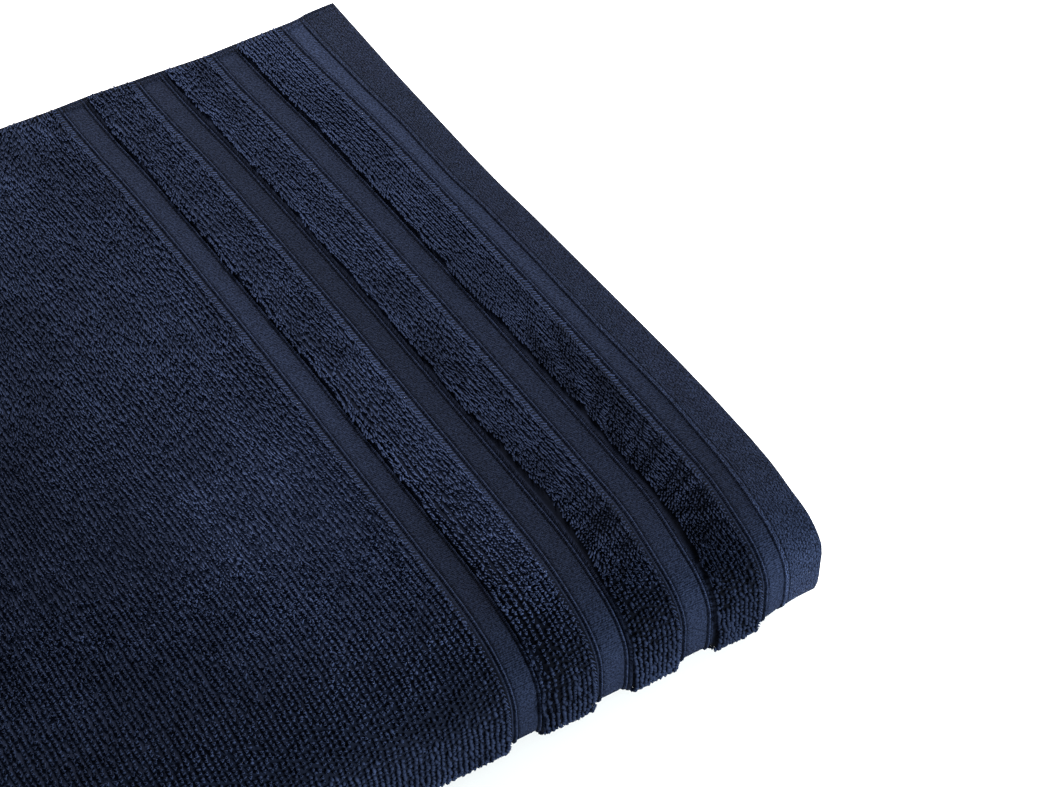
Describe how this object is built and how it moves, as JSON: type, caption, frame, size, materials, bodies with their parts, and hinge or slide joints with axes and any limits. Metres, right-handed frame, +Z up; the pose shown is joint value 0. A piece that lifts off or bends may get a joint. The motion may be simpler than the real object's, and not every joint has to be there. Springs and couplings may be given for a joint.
{
  "type": "folded bath sheet",
  "caption": "Large cotton terry bath sheet with a banded woven border and hemmed edges, folded flat into a thick rectangle with one rounded fold edge.",
  "frame": {"origin": "middle of the underside of the folded sheet", "axes": "+Z up off the surface it lies on, +X along the folded length towards the end hems, +Y towards the side hem of the top layer, with the rounded fold at -Y"},
  "size_m": [0.3876, 0.3396, 0.045],
  "materials": {
    "terry": "matt navy cotton terry with small upright loops, flat woven bands and a stitched hem"
  },
  "bodies": {
    "root": {"bath_sheet": "terry"}
  },
  "joints": []
}
